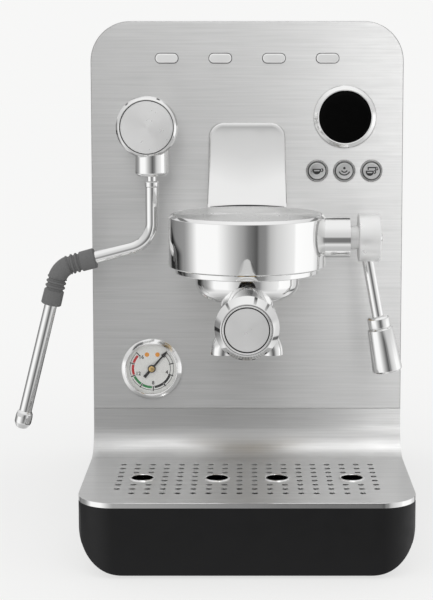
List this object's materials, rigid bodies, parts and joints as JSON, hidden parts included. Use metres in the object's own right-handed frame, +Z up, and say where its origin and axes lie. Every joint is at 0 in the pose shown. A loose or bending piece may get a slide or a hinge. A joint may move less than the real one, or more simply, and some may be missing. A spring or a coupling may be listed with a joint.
{
  "type": "espresso machine",
  "caption": "Countertop espresso machine: steel front, chrome brew group with portafilter, steam wand and lever, gauge, display, sliding drip tray, lift-out tank.",
  "frame": {"origin": "on the counter, on the machine's mid-plane, under the front panel's face, at the middle of the front foot", "axes": "+X to the user's right, +Y to the back of the machine, +Z up"},
  "size_m": [0.2688, 0.4173, 0.3545],
  "materials": {
    "brushed_panel": "fine horizontal brushing",
    "tray_steel": "fine brushing, polished edge",
    "chrome": "polished",
    "satin_chrome": "satin plated",
    "spun_steel": "brushed round the centre",
    "black_plastic": "fine matte texture",
    "dark_plastic": "matte",
    "rubber": "matte",
    "silicone": "soft matte, ribbed",
    "gloss_black": "gloss",
    "button_ring": "semi-gloss",
    "button_cap": "satin",
    "dial_face": "printed",
    "needle_black": "matte",
    "lens": "clear",
    "brass": "cast",
    "copper": "drawn tube",
    "stainless": "pressed",
    "aluminium": "cast",
    "board_green": "solder mask",
    "pump_body": "moulded",
    "hose": "translucent silicone",
    "tank_smoke": "smoke-tinted clear plastic"
  },
  "bodies": {
    "root": {"base_chassis": "dark_plastic", "front_foot": "rubber", "rear_feet": "rubber", "front_panel": "brushed_panel", "badge_bars": "chrome", "body_shell": "black_plastic", "rear_cover": "black_plastic", "cover_screws": "stainless", "bay_wall": "dark_plastic", "cup_plate": "tray_steel", "display_bezel": "chrome", "display_glass": "gloss_black", "button_rings": "button_ring", "control_board": "board_green", "gauge_can": "stainless", "gauge_bezel": "chrome", "gauge_dial": "dial_face", "gauge_lens": "lens", "group_neck": "satin_chrome", "group_collar": "chrome", "group_casting": "brass", "group_gasket": "rubber", "shower_screen": "stainless", "screen_screw": "stainless", "steam_housing": "chrome", "steam_cap": "chrome", "steam_disc": "spun_steel", "lever_boss": "chrome", "tank_seat": "dark_plastic", "pump": "pump_body", "pump_mounts": "rubber", "coffee_boiler": "aluminium", "steam_boiler": "aluminium", "brew_pipe": "copper", "steam_pipe": "copper", "inlet_hose": "hose", "mains_inlet": "rubber"},
    "portafilter": {"portafilter_bowl": "chrome", "filter_basket": "stainless", "portafilter_handle": "chrome", "handle_end_ring": "chrome", "handle_end_disc": "spun_steel", "twin_spout": "chrome"},
    "steam_wand": {"wand_pipe": "chrome", "wand_sleeve": "silicone", "wand_tube": "chrome", "wand_tip": "chrome"},
    "steam_lever": {"lever_drum": "satin_chrome", "lever_screw": "chrome", "lever_rod": "chrome", "lever_grip": "chrome"},
    "one_cup_button": {"button_one_cup": "button_cap"},
    "steam_button": {"button_steam": "button_cap"},
    "two_cups_button": {"button_two_cups": "button_cap"},
    "needle": {"gauge_needle": "needle_black"},
    "drip_tray": {"tray_bin": "black_plastic", "tray_cover": "tray_steel"},
    "tank": {"water_tank": "tank_smoke"},
    "lid": {"tank_lid": "black_plastic"},
    "rear_button": {"power_button": "gloss_black"}
  },
  "joints": [
    {"name": "portafilter_turn", "type": "hinge", "parent": "root", "child": "portafilter", "pos_m": [0, -0.081, 0.19], "axis": [0, 0, 1], "range_deg": [-45, 0]},
    {"name": "wand_swing", "type": "hinge", "parent": "root", "child": "steam_wand", "pos_m": [-0.0646, -0.038, 0.25], "axis": [0, 0, 1], "range_deg": [-15, 75]},
    {"name": "lever_tilt", "type": "hinge", "parent": "root", "child": "steam_lever", "pos_m": [0.0796, -0.077, 0.2124], "axis": [-1, 0, 0], "range_deg": [0, 80]},
    {"name": "one_cup_press", "type": "slide", "parent": "root", "child": "one_cup_button", "axis": [0, 1, 0], "range_m": [0, 0.0015], "stiffness_N_per_m": 500},
    {"name": "steam_press", "type": "slide", "parent": "root", "child": "steam_button", "axis": [0, 1, 0], "range_m": [0, 0.0015], "stiffness_N_per_m": 500},
    {"name": "two_cups_press", "type": "slide", "parent": "root", "child": "two_cups_button", "axis": [0, 1, 0], "range_m": [0, 0.0015], "stiffness_N_per_m": 500},
    {"name": "needle_turn", "type": "hinge", "parent": "root", "child": "needle", "pos_m": [-0.0676, 0, 0.1098], "axis": [0, 1, 0], "range_deg": [0, 278], "stiffness_Nm_per_rad": 0.0002},
    {"name": "tray_slide", "type": "slide", "parent": "root", "child": "drip_tray", "axis": [0, -1, 0], "range_m": [0, 0.107]},
    {"name": "tank_lift", "type": "slide", "parent": "root", "child": "tank", "axis": [0, 0, 1], "range_m": [0, 0.22]},
    {"name": "lid_hinge", "type": "hinge", "parent": "tank", "child": "lid", "pos_m": [0, 0.1967, 0.3496], "axis": [-1, 0, 0], "range_deg": [0, 95]},
    {"name": "power_press", "type": "slide", "parent": "root", "child": "rear_button", "axis": [0, -1, 0], "range_m": [0, 0.0025], "stiffness_N_per_m": 800}
  ]
}
